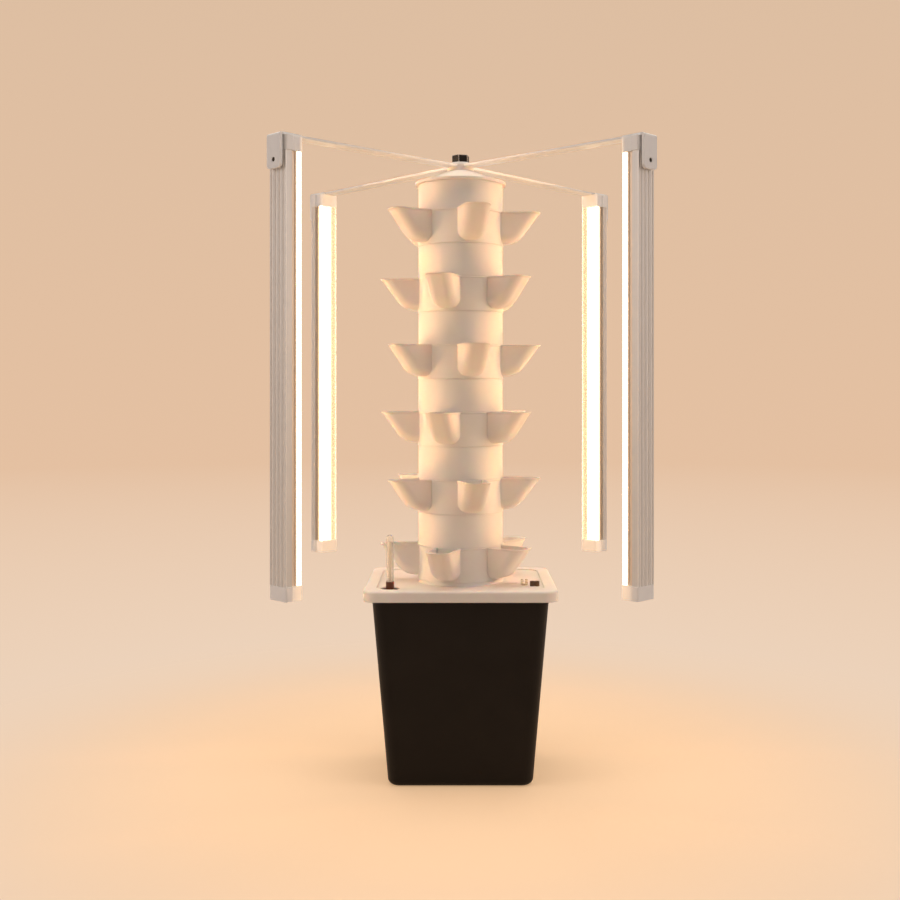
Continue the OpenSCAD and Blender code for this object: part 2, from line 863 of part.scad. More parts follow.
module led_board(k) {
    length = housing_z1 - housing_z0;
    leds = floor((length - led_pitch) / led_pitch);
    color("#e9e6da")
        at_bar(k) {
            translate([front_u - board_t, -board_w / 2, housing_z0])
                cube([board_t, board_w, length]);
            for (n = [0:leds])
                translate([front_u - board_t - led_t, -led_side / 2,
                    (housing_z0 + housing_z1 - led_side - leds * led_pitch) / 2 + n * led_pitch])
                    cube([led_t + board_t / 2, led_side, led_side]);
        }
}

// Section of the diffuser's outside, shrunk by inset, its round front towards the tower
module diffuser_outline(inset) {
    translate([front_u, 0])
        mirror([1, 0])
            round_u(0, diffuser_d - inset, diffuser_w - 2 * inset, max(diffuser_r - inset, cut));
}

module led_diffuser(k) {
    color("#fff3dc")
        at_bar(k)
            translate([0, 0, housing_z0])
                linear_extrude(housing_z1 - housing_z0)
                    difference() {
                        diffuser_outline(0);
                        diffuser_outline(diffuser_wall);
                    }
}

// End cap section: a wide back over the housing and a narrower nose over the diffuser
module end_outline() {
    translate([neck_u - end_lip + housing_d / 2, 0])
        round_rect(housing_d + 2 * end_lip, housing_w + 2 * end_lip, end_r);
    translate([neck_u, 0])
        mirror([1, 0])
            round_u(housing_d / 2, bar_d - housing_d + nose_lip, diffuser_w + 2 * nose_lip, end_r);
}

module led_top_cap(k) {
    color("#e6e3dd")
        at_bar(k) {
            translate([0, 0, housing_z1])
                linear_extrude(top_end_h)
                    end_outline();
            translate([0, 0, housing_z1 - plug_h])
                linear_extrude(plug_h + cut)
                    housing_hollow(plug_gap);
        }
}

module led_bottom_cap(k) {
    color("#e6e3dd")
        at_bar(k) {
            translate([0, 0, bar_bottom_z])
                linear_extrude(bottom_end_h)
                    end_outline();
            translate([0, 0, housing_z0 - cut])
                linear_extrude(plug_h + cut)
                    housing_hollow(plug_gap);
        }
}

// Half section of a round-ended tube, from its foot up
module domed_half(r, h) {
    square([r, h - r]);
    translate([0, h - r])
        intersection() {
            circle(r);
            square(r);
        }
}

module gauge_tube() {
    r = gauge_d / 2;
    height = gauge_top_z - collar_top_z;
    color([0.93, 0.95, 0.94, 0.45])
        translate([gauge_x, gauge_y, collar_top_z])
            rotate_extrude()
                difference() {
                    domed_half(r, height);
                    domed_half(r - gauge_wall, height - gauge_wall);
                }
}

module gauge_collar() {
    color("#4a1d12")
        translate([gauge_x, gauge_y, guide_top_z])
            difference() {
                cylinder(d = gauge_collar_d, h = gauge_collar_h);
                translate([0, 0, -cut])
                    cylinder(r = rod_r + plug_gap, h = gauge_collar_h + 2 * cut);
            }
}

module gauge_rod() {
    color("#efe9dc")
        translate([gauge_x, gauge_y, float_top_z - float_h])
            cylinder(r = rod_r, h = gauge_top_z - rod_short - float_top_z + float_h);
}

module gauge_float() {
    color("#f0eee6")
        translate([gauge_x, gauge_y, float_top_z - float_h])
            difference() {
                cylinder(d = float_d, h = float_h);
                translate([0, 0, -cut])
                    cylinder(r = rod_r + plug_gap, h = float_h + 2 * cut);
            }
}

module gauge_guide() {
    barrel_r = filler_r - plug_gap;
    color("#f1efea")
        translate([gauge_x, gauge_y, guide_z])
            difference() {
                union() {
                    cylinder(r = filler_r + guide_reach, h = guide_t);
                    cylinder(r = barrel_r, h = 2 * guide_t);
                }
                // Three water ways round the hub
                difference() {
                    translate([0, 0, -cut])
                        cylinder(r = barrel_r - guide_wall, h = 2 * (guide_t + cut));
                    translate([0, 0, -2 * cut])
                        cylinder(r = guide_hub_r, h = 2 * guide_t + 4 * cut);
                    for (s = [0:2])
                        rotate([0, 0, s * 120 + 90])
                            translate([0, -spoke_w / 2, -2 * cut])
                                cube([filler_r, spoke_w, 2 * guide_t + 4 * cut]);
                }
                translate([0, 0, -cut])
                    cylinder(r = rod_r + rod_gap, h = 2 * (guide_t + cut));
            }
}

// Outline of the gland's two joined lobes, grown by gap
module gland_outline(gap) {
    translate([gland_x, gland_y]) {
        for (x = [-1, 1])
            translate([x * gland_pitch / 2, 0])
                circle(gland_r + gap);
        square([gland_pitch, gland_waist + 2 * gap], center = true);
    }
}

module cable_grommet() {
    color("#17120f")
        translate([0, 0, tank_h])
            linear_extrude(panel_z - tank_h + gland_h)
                difference() {
                    gland_outline(0);
                    for (x = [-1, 1])
                        translate([gland_x + x * gland_pitch / 2, gland_y])
                            circle(d = cable_d);
                }
}

module cable_clip() {
    color([0.93, 0.93, 0.9, 0.6])
        translate([clip_x, clip_y, panel_z])
            rotate([90, 0, 0])
                linear_extrude(clip_l, center = true)
                    difference() {
                        translate([-clip_w / 2, 0])
                            square([clip_w, clip_h]);
                        translate([-clip_slot / 2, clip_t])
                            square([clip_slot, clip_h]);
                    }
}

module pump_feet() {
    color("#202020")
        for (x = [-1, 1], y = [pump_front + foot_inset, pump_front + pump_l - foot_inset])
            translate([x * (pump_w / 2 - foot_inset), y, tank_wall])
                cylinder(r = foot_r, h = foot_h);
}

module pump_body() {
    color("#26282b")
        difference() {
            union() {
                translate([0, pump_front + pump_l / 2, pump_z])
                    linear_extrude(pump_h)
                        round_rect(pump_w, pump_l, pump_edge_r);
                translate([0, 0, outlet_z - cut])
                    cylinder(r = outlet_r, h = outlet_h + cut);
            }
            translate([0, pump_front, shaft_z])
                rotate([-90, 0, 0]) {
                    translate([0, 0, -cut])
                        cylinder(r = chamber_r, h = chamber_l + cut);
                    cylinder(r = well_r, h = chamber_l + well_l);
                    cylinder(r = shaft_r + run_gap, h = chamber_l + well_l + shaft_seat);
                }
            translate([0, 0, shaft_z])
                cylinder(r = outlet_r - outlet_wall, h = pump_h + outlet_h);
        }
}

module pump_cover() {
    w = pump_w - 2 * pump_edge_r;
    slots = floor((w / 2 - cover_wall - slot_w) / slot_pitch);
    color("#2f3236")
        translate([0, pump_front, shaft_z])
            difference() {
                translate([-w / 2, -cover_l, -cover_h / 2])
                    cube([w, cover_l, cover_h]);
                difference() {
                    translate([-w / 2 + cover_wall, cover_wall - cover_l, -cover_h / 2 + cover_wall])
                        cube([w - 2 * cover_wall, cover_l, cover_h - 2 * cover_wall]);
                    // Boss that carries the front end of the shaft
                    translate([0, -run_gap, 0])
                        rotate([90, 0, 0])
                            cylinder(r = shaft_r + cover_wall, h = cover_l);
                }
                rotate([90, 0, 0])
                    translate([0, 0, -cut])
                        cylinder(r = shaft_r + run_gap, h = shaft_seat + cut);
                for (s = [-slots:slots])
                    if (abs(s * slot_pitch) > shaft_r + cover_wall + slot_w / 2)
                        translate([s * slot_pitch - slot_w / 2, -cover_l - cut, -slot_l / 2])
                            cube([slot_w, cover_wall + 2 * cut, slot_l]);
            }
}

module impeller_shaft() {
    color("#c9ccd0")
        translate([0, pump_front - shaft_seat, shaft_z])
            rotate([-90, 0, 0])
                cylinder(r = shaft_r, h = chamber_l + well_l + 2 * shaft_seat);
}

module pump_impeller() {
    color("#d8d4c8")
        translate([0, pump_front, shaft_z])
            rotate([-90, 0, 0])
                difference() {
                    union() {
                        translate([0, 0, rotor_gap])
                            cylinder(r = impeller_hub_r, h = chamber_l);
                        translate([0, 0, chamber_l - rotor_gap - disc_t])
                            cylinder(r = chamber_r - rotor_gap, h = disc_t);
                        translate([0, 0, chamber_l - rotor_gap - disc_t / 2])
                            cylinder(r = well_r - rotor_gap, h = well_l + disc_t / 2);
                        for (b = [0:blade_count - 1])
                            rotate([0, 0, b * 360 / blade_count])
                                translate([0, -blade_t / 2, rotor_gap])
                                    cube([chamber_r - rotor_gap - blade_t / 2, blade_t,
                                        chamber_l - 2 * rotor_gap - disc_t / 2]);
                    }
                    translate([0, 0, -cut])
                        cylinder(r = shaft_r + run_gap, h = chamber_l + well_l + 2 * cut);
                }
}

module riser_pipe() {
    color("#e8e8e4")
        translate([0, 0, outlet_z])
            difference() {
                cylinder(r = riser_r, h = riser_seat_z - outlet_z);
                translate([0, 0, -cut])
                    cylinder(r = riser_bore_r, h = riser_seat_z - outlet_z + 2 * cut);
            }
}

module spray_head() {
    color("#e8e8e4")
        translate([0, 0, spray_z])
            difference() {
                cylinder(r = spray_r, h = spray_h);
                translate([0, 0, -cut])
                    cylinder(r = riser_r + plug_gap, h = spray_socket + cut);
                cylinder(r = riser_bore_r, h = spray_h - plenum_wall);
                translate([0, 0, spray_socket + plenum_wall])
                    cylinder(r = spray_r - plenum_wall, h = spray_h - spray_socket - 2 * plenum_wall);
                for (s = [0:spray_holes - 1])
                    rotate([0, 0, s * 360 / spray_holes])
                        translate([(spray_r + riser_r) / 2, 0, -cut])
                            cylinder(r = spray_hole_r, h = spray_socket + plenum_wall + 2 * cut);
            }
}

reservoir_tank();
reservoir_lid();
for (i = [1:TIERS]) planting_ring(i);
for (i = [1:TIERS]) spacer_tube(i);
top_cap();
light_hub();
hub_washer();
hub_knob();
hub_stud();
for (k = [1:CORNERS]) light_arm(k);
for (k = [1:CORNERS]) led_housing(k);
for (k = [1:CORNERS]) led_board(k);
for (k = [1:CORNERS]) led_diffuser(k);
for (k = [1:CORNERS]) led_top_cap(k);
for (k = [1:CORNERS]) led_bottom_cap(k);
bracket_screws();
gauge_tube();
gauge_collar();
gauge_rod();
gauge_float();
gauge_guide();
cable_grommet();
cable_clip();
pump_feet();
pump_body();
pump_cover();
impeller_shaft();
pump_impeller();
riser_pipe();
spray_head();
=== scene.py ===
import math

import bmesh
import bpy
from mathutils import Matrix, Vector


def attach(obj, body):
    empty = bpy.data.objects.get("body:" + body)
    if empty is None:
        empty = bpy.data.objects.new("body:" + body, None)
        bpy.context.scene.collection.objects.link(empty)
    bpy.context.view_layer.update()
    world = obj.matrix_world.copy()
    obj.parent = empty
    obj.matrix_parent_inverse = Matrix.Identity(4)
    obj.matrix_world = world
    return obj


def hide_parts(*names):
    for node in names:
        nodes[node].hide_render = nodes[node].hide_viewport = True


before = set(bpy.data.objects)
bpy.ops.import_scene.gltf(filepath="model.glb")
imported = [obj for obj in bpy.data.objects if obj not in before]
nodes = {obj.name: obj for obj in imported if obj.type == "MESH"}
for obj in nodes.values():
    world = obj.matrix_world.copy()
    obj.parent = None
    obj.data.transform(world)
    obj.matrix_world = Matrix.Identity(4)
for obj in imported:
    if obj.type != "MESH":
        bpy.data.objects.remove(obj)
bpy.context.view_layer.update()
scene = bpy.context.scene
scene.view_settings.view_transform = "Standard"

# Camera. It stands level, a little over two metres in front of the tower and at the height of its
# middle, and the frame is shifted so that the tower stands just right of the middle.
camera_data = bpy.data.cameras.new("photo_camera")
camera_data.sensor_width = 36
camera_data.lens = 46.36
camera_data.shift_x = -0.0117
camera_data.shift_y = -0.0672
camera = bpy.data.objects.new("photo_camera", camera_data)
camera.location = (0, -2.114, 0.692)
camera.rotation_euler = (math.radians(90), 0, 0)
scene.collection.objects.link(camera)
scene.camera = camera

# Studio. A pale peach paper floor runs out into a backdrop of the same colour. A large soft box
# hangs above, one stands on each side a little in front, and two gridded strip boxes on each side
# light the tower's flanks, as its own lamps do.
SOFT_WHITE = (1.0, 0.95, 0.94)
OVERHEAD_WARM = (1.0, 0.87, 0.72)
STRIP_ORANGE = (1.0, 0.54, 0.235)
STRIP_SIZE = (0.16, 0.9)
STRIP_GRID = 14
ROOM_FILL = (1.0, 0.92, 0.91)
ROOM_FILL_LEVEL = 0.21
PAPER = (0.71, 0.535, 0.39)
FLOOR_PAINTED_LIGHT = (1.0, 0.64, 0.35)
FLOOR_PAINTED_LIGHT_LEVEL = 0.44
FLOOR_PAINTED_LIGHT_REACH = (0.1, 2.0)
PAPER_FADE = (0.25, 1.1)
PAPER_NEAR = (0.88, 0.648, 0.465)
PAPER_NEAR_AT = 0.28
PAPER_MIDDLE = (0.843, 0.645, 0.490)
PAPER_MIDDLE_AT = 0.365
BACKDROP_LOW = (0.778, 0.530, 0.360)
BACKDROP_HIGH = (0.728, 0.518, 0.362)
BACKDROP_RISE = (-0.06, 0.30)
FLOOR_RADIUS = 9.0
FLOOR_DROP = 0.0004


def place_softbox(name, where, aim_height, size, power, colour, spread=180):
    """Lamp with a soft oblong front, aimed at that height on the tower's axis."""
    lamp = bpy.data.lights.new(name, "AREA")
    lamp.shape = "RECTANGLE"
    lamp.size, lamp.size_y = size
    lamp.spread = math.radians(spread)
    lamp.energy = power
    lamp.color = colour
    softbox = bpy.data.objects.new(name, lamp)
    softbox.visible_camera = False
    softbox.location = where
    x, y, z = where
    softbox.rotation_euler = (
        math.atan2(math.hypot(x, y), z - aim_height), 0, math.atan2(x, -y))
    scene.collection.objects.link(softbox)


def node_of(tree, kind, **settings):
    node = tree.nodes.new("ShaderNode" + kind)
    for name, value in settings.items():
        setattr(node, name, value)
    return node


def feed(tree, socket, value):
    """Links what comes from a node, and sets what is the same all over."""
    if isinstance(value, bpy.types.NodeSocket):
        tree.links.new(value, socket)
    else:
        socket.default_value = value


def reckon(tree, operation, first, second=0.0):
    """Amount worked out from one or two others."""
    worked = node_of(tree, "Math", operation=operation)
    feed(tree, worked.inputs[0], first)
    feed(tree, worked.inputs[1], second)
    return worked.outputs[0]


def spread_between(tree, amount, start, end, low=0.0, high=1.0, shape="LINEAR"):
    """Amount that goes from low at start to high at end, and no further."""
    span = node_of(tree, "MapRange", interpolation_type=shape)
    span.inputs["From Min"].default_value = start
    span.inputs["From Max"].default_value = end
    span.inputs["To Min"].default_value = low
    span.inputs["To Max"].default_value = high
    tree.links.new(amount, span.inputs["Value"])
    return span.outputs["Result"]


def run_of_colours(tree, amount, *stops):
    """Colour that runs through the stops, each a place from 0 to 1 and a colour."""
    ramp = node_of(tree, "ValToRGB")
    marks = ramp.color_ramp.elements
    for n, (place, colour) in enumerate((stops[0], stops[-1])):
        marks[n].position = place
        marks[n].color = (*colour, 1)
    for place, colour in stops[1:-1]:
        marks.new(place).color = (*colour, 1)
    tree.links.new(amount, ramp.inputs["Fac"])
    return ramp.outputs["Color"]


def seen_plainly(tree):
    """1 to the camera, in reflections and through clear pieces, and 0 where it would give light."""
    ray = node_of(tree, "LightPath").outputs
    mirrored = reckon(tree, "MAXIMUM", ray["Is Camera Ray"], ray["Is Glossy Ray"])
    return reckon(tree, "MAXIMUM", mirrored, ray["Is Transmission Ray"])


def mix_shaders(tree, amount, first, second):
    mix = node_of(tree, "MixShader")
    feed(tree, mix.inputs["Fac"], amount)
    tree.links.new(first, mix.inputs[1])
    tree.links.new(second, mix.inputs[2])
    return mix.outputs[0]


for box, where in (("left_box", (-3.4, -1.2, 1.8)), ("right_box", (3.4, -1.2, 1.8))):
    place_softbox(box, where, aim_height=0.7, size=(2.2, 2.2), power=22.5, colour=SOFT_WHITE)
place_softbox("top_box", (0, 0.1, 5.4), aim_height=0.5, size=(3.8, 3.8), power=190,
              colour=OVERHEAD_WARM)
for strip, where, aim_height, power in (
        ("left_high_strip", (-1.87, 0.40, 1.25), 0.60, 0.63),
        ("right_high_strip", (1.87, 0.40, 1.25), 0.60, 0.60),
        ("left_low_strip", (-1.87, -0.15, 0.30), 0.80, 0.46),
        ("right_low_strip", (1.87, 0.10, 0.30), 0.80, 0.44)):
    place_softbox(strip, where, aim_height, STRIP_SIZE, power, STRIP_ORANGE, STRIP_GRID)

world = bpy.data.worlds.new("studio_world")
world.use_nodes = True
scene.world = world
sky = world.node_tree
sky.nodes.clear()
fill = node_of(sky, "Background")
fill.inputs["Color"].default_value = (*ROOM_FILL, 1)
fill.inputs["Strength"].default_value = ROOM_FILL_LEVEL
way_up = node_of(sky, "SeparateXYZ")
sky.links.new(node_of(sky, "TexCoord").outputs["Generated"], way_up.inputs[0])
rise = spread_between(sky, way_up.outputs["Z"], *BACKDROP_RISE)
paper_sky = run_of_colours(sky, rise, (0, BACKDROP_LOW), (1, BACKDROP_HIGH))
backdrop = node_of(sky, "Background")
sky.links.new(paper_sky, backdrop.inputs["Color"])
backdrop.inputs["Strength"].default_value = 1.0
sky_mix = mix_shaders(sky, seen_plainly(sky), fill.outputs[0], backdrop.outputs[0])
sky.links.new(sky_mix, node_of(sky, "OutputWorld").inputs["Surface"])

floor_mesh = bpy.data.meshes.new("paper_floor")
paper = bmesh.new()
bmesh.ops.create_circle(paper, cap_ends=True, segments=96, radius=FLOOR_RADIUS)
paper.to_mesh(floor_mesh)
paper.free()
floor = bpy.data.objects.new("paper_floor", floor_mesh)
floor.location.z = -FLOOR_DROP
scene.collection.objects.link(floor)
paper_finish = bpy.data.materials.new("peach_paper")
paper_finish.use_nodes = True
paper_tree = paper_finish.node_tree
paper_shader = paper_tree.nodes["Principled BSDF"]
paper_shader.inputs["Base Color"].default_value = (*PAPER, 1)
paper_shader.inputs["Roughness"].default_value = 0.9
paper_shader.inputs["Specular IOR Level"].default_value = 0.1
from_middle = node_of(paper_tree, "VectorMath", operation="LENGTH")
paper_tree.links.new(node_of(paper_tree, "TexCoord").outputs["Object"], from_middle.inputs[0])
away = from_middle.outputs["Value"]
paper_seen = seen_plainly(paper_tree)
# Painted light: round the tank the camera sees a pool of warm light on the floor, an emission that
# lights nothing and makes the tank's shadow fainter.
near = spread_between(paper_tree, away, *FLOOR_PAINTED_LIGHT_REACH, FLOOR_PAINTED_LIGHT_LEVEL, 0.0, "SMOOTHSTEP")
near_seen = reckon(paper_tree, "MULTIPLY", paper_seen, near)
floor_painted_light = node_of(paper_tree, "Emission")
floor_painted_light.inputs["Color"].default_value = (*FLOOR_PAINTED_LIGHT, 1)
paper_tree.links.new(near_seen, floor_painted_light.inputs["Strength"])
paper_lit = node_of(paper_tree, "AddShader")
paper_tree.links.new(paper_shader.outputs["BSDF"], paper_lit.inputs[0])
paper_tree.links.new(floor_painted_light.outputs["Emission"], paper_lit.inputs[1])
# Further out the camera sees the floor as a colour that runs from lighter near the tower into the
# backdrop's, a painted falloff of light.
way_out = reckon(paper_tree, "SQRT", reckon(paper_tree, "DIVIDE", away, FLOOR_RADIUS))
far_colour = run_of_colours(
    paper_tree, way_out,
    (PAPER_NEAR_AT, PAPER_NEAR), (PAPER_MIDDLE_AT, PAPER_MIDDLE), (1, BACKDROP_LOW))
paper_far = node_of(paper_tree, "Emission")
paper_tree.links.new(far_colour, paper_far.inputs["Color"])
paper_far.inputs["Strength"].default_value = 1.0
far = spread_between(paper_tree, away, *PAPER_FADE, shape="SMOOTHERSTEP")
far_seen = reckon(paper_tree, "MULTIPLY", paper_seen, far)
paper_mix = mix_shaders(
    paper_tree, far_seen, paper_lit.outputs[0], paper_far.outputs["Emission"])
paper_tree.links.new(paper_mix, paper_tree.nodes["Material Output"].inputs["Surface"])
floor_mesh.materials.append(paper_finish)


# Tank. A tapered tub blown in black polyethylene, with a satin skin, a fine moulded grain and
# slightly duller patches where it is handled; its edges are rubbed a little paler.
CLOUD_SPAN = (0.3, 0.7)
EDGE_STARTS = 0.985


def cloud(tree, cell, along=1, detail=3):
    """Noise in the piece's own place, with cells of that size in metres; they are drawn out
    upwards where along is under 1."""
    scale = node_of(tree, "Mapping")
    scale.inputs["Scale"].default_value = (1 / cell, 1 / cell, along / cell)
    tree.links.new(node_of(tree, "TexCoord").outputs["Object"], scale.inputs["Vector"])
    noise = node_of(tree, "TexNoise")
    noise.inputs["Scale"].default_value = 1
    noise.inputs["Detail"].default_value = detail
    tree.links.new(scale.outputs["Vector"], noise.inputs["Vector"])
    return noise.outputs["Fac"]


def softened(tree, radius):
    """Surface direction with every edge rounded by that radius, in metres."""
    soft = node_of(tree, "Bevel", samples=6)
    soft.inputs["Radius"].default_value = radius
    return soft.outputs["Normal"]


def new_finish(name, dark, light, polish, polish_patch, grain, grain_deep, edge, patch=None,
               along=(1, 1, 1), grain_detail=3, metallic=0.0):
    """Material whose colour wanders from dark to light in patches, or is even without them, and
    whose roughness wanders between the two of polish, with a fine grain and softened edges.
    Sizes are in metres, and along says how patches, polish and grain stretch upwards."""
    finish = bpy.data.materials.new(name)
    finish.use_nodes = True
    tree = finish.node_tree
    shader = tree.nodes["Principled BSDF"]
    shader.inputs["Base Color"].default_value = (*[(d + p) / 2 for d, p in zip(dark, light)], 1)
    shader.inputs["Roughness"].default_value = sum(polish) / 2
    shader.inputs["Metallic"].default_value = metallic
    if patch:
        stops = zip(CLOUD_SPAN, (dark, light))
        colour = run_of_colours(tree, cloud(tree, patch, along[0]), *stops)
        tree.links.new(colour, shader.inputs["Base Color"])
    rough = spread_between(tree, cloud(tree, polish_patch, along[1]), *CLOUD_SPAN, *polish)
    tree.links.new(rough, shader.inputs["Roughness"])
    bump = node_of(tree, "Bump")
    bump.inputs["Strength"].default_value = 1
    bump.inputs["Distance"].default_value = grain_deep
    tree.links.new(cloud(tree, grain, along[2], grain_detail), bump.inputs["Height"])
    tree.links.new(softened(tree, edge), bump.inputs["Normal"])
    tree.links.new(bump.outputs["Normal"], shader.inputs["Normal"])
    return finish, shader


def mix_colours(tree, amount, first, second):
    """Colour that goes from the first to the second as the amount goes from 0 to 1."""
    mix = node_of(tree, "Mix", data_type="RGBA")
    feed(tree, mix.inputs["Factor"], amount)
    feed(tree, mix.inputs["A"], first)
    feed(tree, mix.inputs["B"], second)
    return mix.outputs["Result"]


def edge_wear_and_highlight(finish, shader, colour, reach, pale_limit=0.86):
    """Paler edges, that far from the corner in metres, over the colour so far: rubbed wear on the
    tank, pump and screws, and a painted highlight on the knob and the light bars' end caps; the
    nearer the last argument is to 1, the wider the pale line."""
    tree = finish.node_tree
    so_far = shader.inputs["Base Color"].links[0].from_socket
    same = node_of(tree, "VectorMath", operation="DOT_PRODUCT")
    tree.links.new(softened(tree, reach), same.inputs[0])
    tree.links.new(node_of(tree, "NewGeometry").outputs["Normal"], same.inputs[1])
    paled = spread_between(tree, same.outputs["Value"], EDGE_STARTS, pale_limit)
    tree.links.new(mix_colours(tree, paled, so_far, (*colour, 1)), shader.inputs["Base Color"])


def dress(finish, *names):
    for name in names:
        nodes[name].data.materials.clear()
        nodes[name].data.materials.append(finish)


tank_finish, tank_shader = new_finish(
    "satin_black_tub", (0.0062, 0.0044, 0.0034), (0.0098, 0.0070, 0.0054), patch=0.12,
    polish=(0.38, 0.54), polish_patch=0.05, grain=0.0011, grain_deep=0.00006, edge=0.002,
    grain_detail=2)
tank_shader.inputs["Specular IOR Level"].default_value = 0.16
edge_wear_and_highlight(tank_finish, tank_shader, (0.030, 0.020, 0.013), reach=0.004)
dress(tank_finish, "reservoir_tank")

# Pump and riser. A small submersible pump on rubber feet stands in the tank under the tower; its
# outlet feeds a white pipe with a spray head under the cap.
pump_finish, pump_shader = new_finish(
    "dark_pump_plastic", (0.016, 0.0175, 0.02), (0.027, 0.029, 0.033), patch=0.02,
    polish=(0.42, 0.6), polish_patch=0.012, grain=0.0009, grain_deep=0.00006, edge=0.0008)
edge_wear_and_highlight(pump_finish, pump_shader, (0.060, 0.062, 0.066), reach=0.0012)
dress(pump_finish, "pump_body", "pump_cover")
rotor_finish, _ = new_finish(
    "tan_rotor", (0.60, 0.57, 0.50), (0.70, 0.67, 0.60), patch=0.005,
    polish=(0.46, 0.62), polish_patch=0.004, grain=0.0008, grain_deep=0.00004, edge=0.0005)
dress(rotor_finish, "pump_impeller")
pipe_finish, _ = new_finish(
    "white_pipe", (0.77, 0.765, 0.73), (0.83, 0.83, 0.80), patch=0.02,
    polish=(0.36, 0.5), polish_patch=0.01, grain=0.0008, grain_deep=0.00004, edge=0.0006,
    along=(0.1, 0.05, 1))
dress(pipe_finish, "riser_pipe", "spray_head")

# Lid and tower. The lid, the planting rings, the tubes between them, the cap and the hub on it are
# all moulded in the same white plastic, which lets a little light in, and plug into each other.
TIERS = range(1, 7)
white_finish, white_shader = new_finish(
    "white_moulding", (0.84, 0.78, 0.74), (0.885, 0.83, 0.79), patch=0.09,
    polish=(0.42, 0.54), polish_patch=0.03, grain=0.0016, grain_deep=0.00003, edge=0.0028,
    grain_detail=2)
white_shader.inputs["Specular IOR Level"].default_value = 0.35
white_shader.inputs["Subsurface Weight"].default_value = 0.3
white_shader.inputs["Subsurface Radius"].default_value = (1.0, 0.45, 0.2)
white_shader.inputs["Subsurface Scale"].default_value = 0.008
dress(white_finish, "reservoir_lid", "top_cap", "light_hub")
dress(white_finish, *["planting_ring_%d" % i for i in TIERS])
dress(white_finish, *["spacer_tube_%d" % i for i in TIERS])

# Cable gland. A dark brown rubber plug with two lobes, pushed into the lid, one hole for each
# cable; the pump's feet are of the same rubber.
rubber_finish, _ = new_finish(
    "brown_rubber", (0.070, 0.032, 0.008), (0.125, 0.062, 0.018), patch=0.005,
    polish=(0.32, 0.5), polish_patch=0.003, grain=0.0006, grain_deep=0.00005, edge=0.001)
dress(rubber_finish, "cable_grommet", "pump_feet")

# Water gauge. A milky clear tube over a thin rod, with a dark collar at its foot, a foam float
# below the lid and a spoked guide in the filler hole, coloured black to paint the shade in the
# hole.
clear_finish, clear_shader = new_finish(
    "milky_acrylic", (0.98, 0.95, 0.90), (1.0, 0.985, 0.96), patch=0.006,
    polish=(0.10, 0.20), polish_patch=0.004, grain=0.003, grain_deep=0.00002, edge=0.0003)
clear_shader.inputs["Transmission Weight"].default_value = 0.85
clear_shader.inputs["IOR"].default_value = 1.18
dress(clear_finish, "gauge_tube")
collar_finish, _ = new_finish(
    "brown_collar", (0.095, 0.018, 0.002), (0.150, 0.034, 0.005), patch=0.004,
    polish=(0.28, 0.44), polish_patch=0.003, grain=0.0008, grain_deep=0.00003, edge=0.0006)
dress(collar_finish, "gauge_collar")
rod_finish, _ = new_finish(
    "off_white_rod", (0.78, 0.69, 0.56), (0.85, 0.78, 0.67), patch=0.004,
    polish=(0.42, 0.58), polish_patch=0.003, grain=0.0008, grain_deep=0.00003, edge=0.0003)
dress(rod_finish, "gauge_rod")
foam_finish, _ = new_finish(
    "closed_foam", (0.79, 0.765, 0.69), (0.87, 0.85, 0.79), patch=0.003,
    polish=(0.7, 0.9), polish_patch=0.002, grain=0.0012, grain_deep=0.0002, edge=0.001)
dress(foam_finish, "gauge_float")
# Painted shade: the guide is black so that the filler hole shows dark.
guide_finish, _ = new_finish(
    "black_guide", (0.008, 0.007, 0.006), (0.014, 0.012, 0.010), patch=0.006,
    polish=(0.42, 0.58), polish_patch=0.004, grain=0.0007, grain_deep=0.00004, edge=0.0006)
dress(guide_finish, "gauge_guide")

# Cable clip. A small clip of clear, slightly smoky plastic on the lid beside the gland, moulded
# with two springy uprights.
clip_finish, clip_shader = new_finish(
    "smoky_clear_clip", (0.90, 0.78, 0.58), (0.96, 0.88, 0.72), patch=0.004,
    polish=(0.18, 0.32), polish_patch=0.003, grain=0.002, grain_deep=0.00002, edge=0.0004)
clip_shader.inputs["Transmission Weight"].default_value = 0.75
clip_shader.inputs["IOR"].default_value = 1.45
dress(clip_finish, "cable_clip")

# Arms. Flat aluminium strip with the end bent down into a bracket, powder coated pale grey-white;
# the coat has a fine orange-peel skin and rounds every edge a little.
CORNERS = range(1, 5)
arm_finish, _ = new_finish(
    "pale_powder_coat", (0.85, 0.86, 0.87), (0.91, 0.92, 0.93), patch=0.04,
    polish=(0.34, 0.50), polish_patch=0.02, grain=0.0009, grain_deep=0.00005, edge=0.0005,
    grain_detail=1)
dress(arm_finish, *["light_arm_%d" % k for k in CORNERS])

# Clamp on the cap. A white washer, a moulded black six-sided knob whose edges carry a pale painted
# highlight, and a plain steel stud hold the four arms down in their hub; the pump's shaft is of the
# same steel.
washer_finish, _ = new_finish(
    "white_washer", (0.93, 0.92, 0.91), (0.97, 0.96, 0.95), patch=0.01,
    polish=(0.38, 0.52), polish_patch=0.006, grain=0.0008, grain_deep=0.00003, edge=0.0018)
dress(washer_finish, "hub_washer")
knob_finish, knob_shader = new_finish(
    "black_knob", (0.003, 0.0025, 0.002), (0.006, 0.005, 0.0045), patch=0.008,
    polish=(0.34, 0.48), polish_patch=0.006, grain=0.0007, grain_deep=0.00003, edge=0.0006)
knob_shader.inputs["Specular IOR Level"].default_value = 0.2
# Painted highlight: the knob's edges are painted pale grey, standing in for light caught on its
# bevels.
edge_wear_and_highlight(knob_finish, knob_shader, (0.70, 0.66, 0.62), reach=0.002, pale_limit=0.94)
dress(knob_finish, "hub_knob")
steel_finish, _ = new_finish(
    "turned_steel", (0.47, 0.47, 0.48), (0.60, 0.60, 0.61), patch=0.0012,
    polish=(0.26, 0.4), polish_patch=0.002, grain=0.0008, grain_deep=0.00003, edge=0.0004,
    along=(12, 1, 6), metallic=1.0)
dress(steel_finish, "hub_stud", "impeller_shaft")
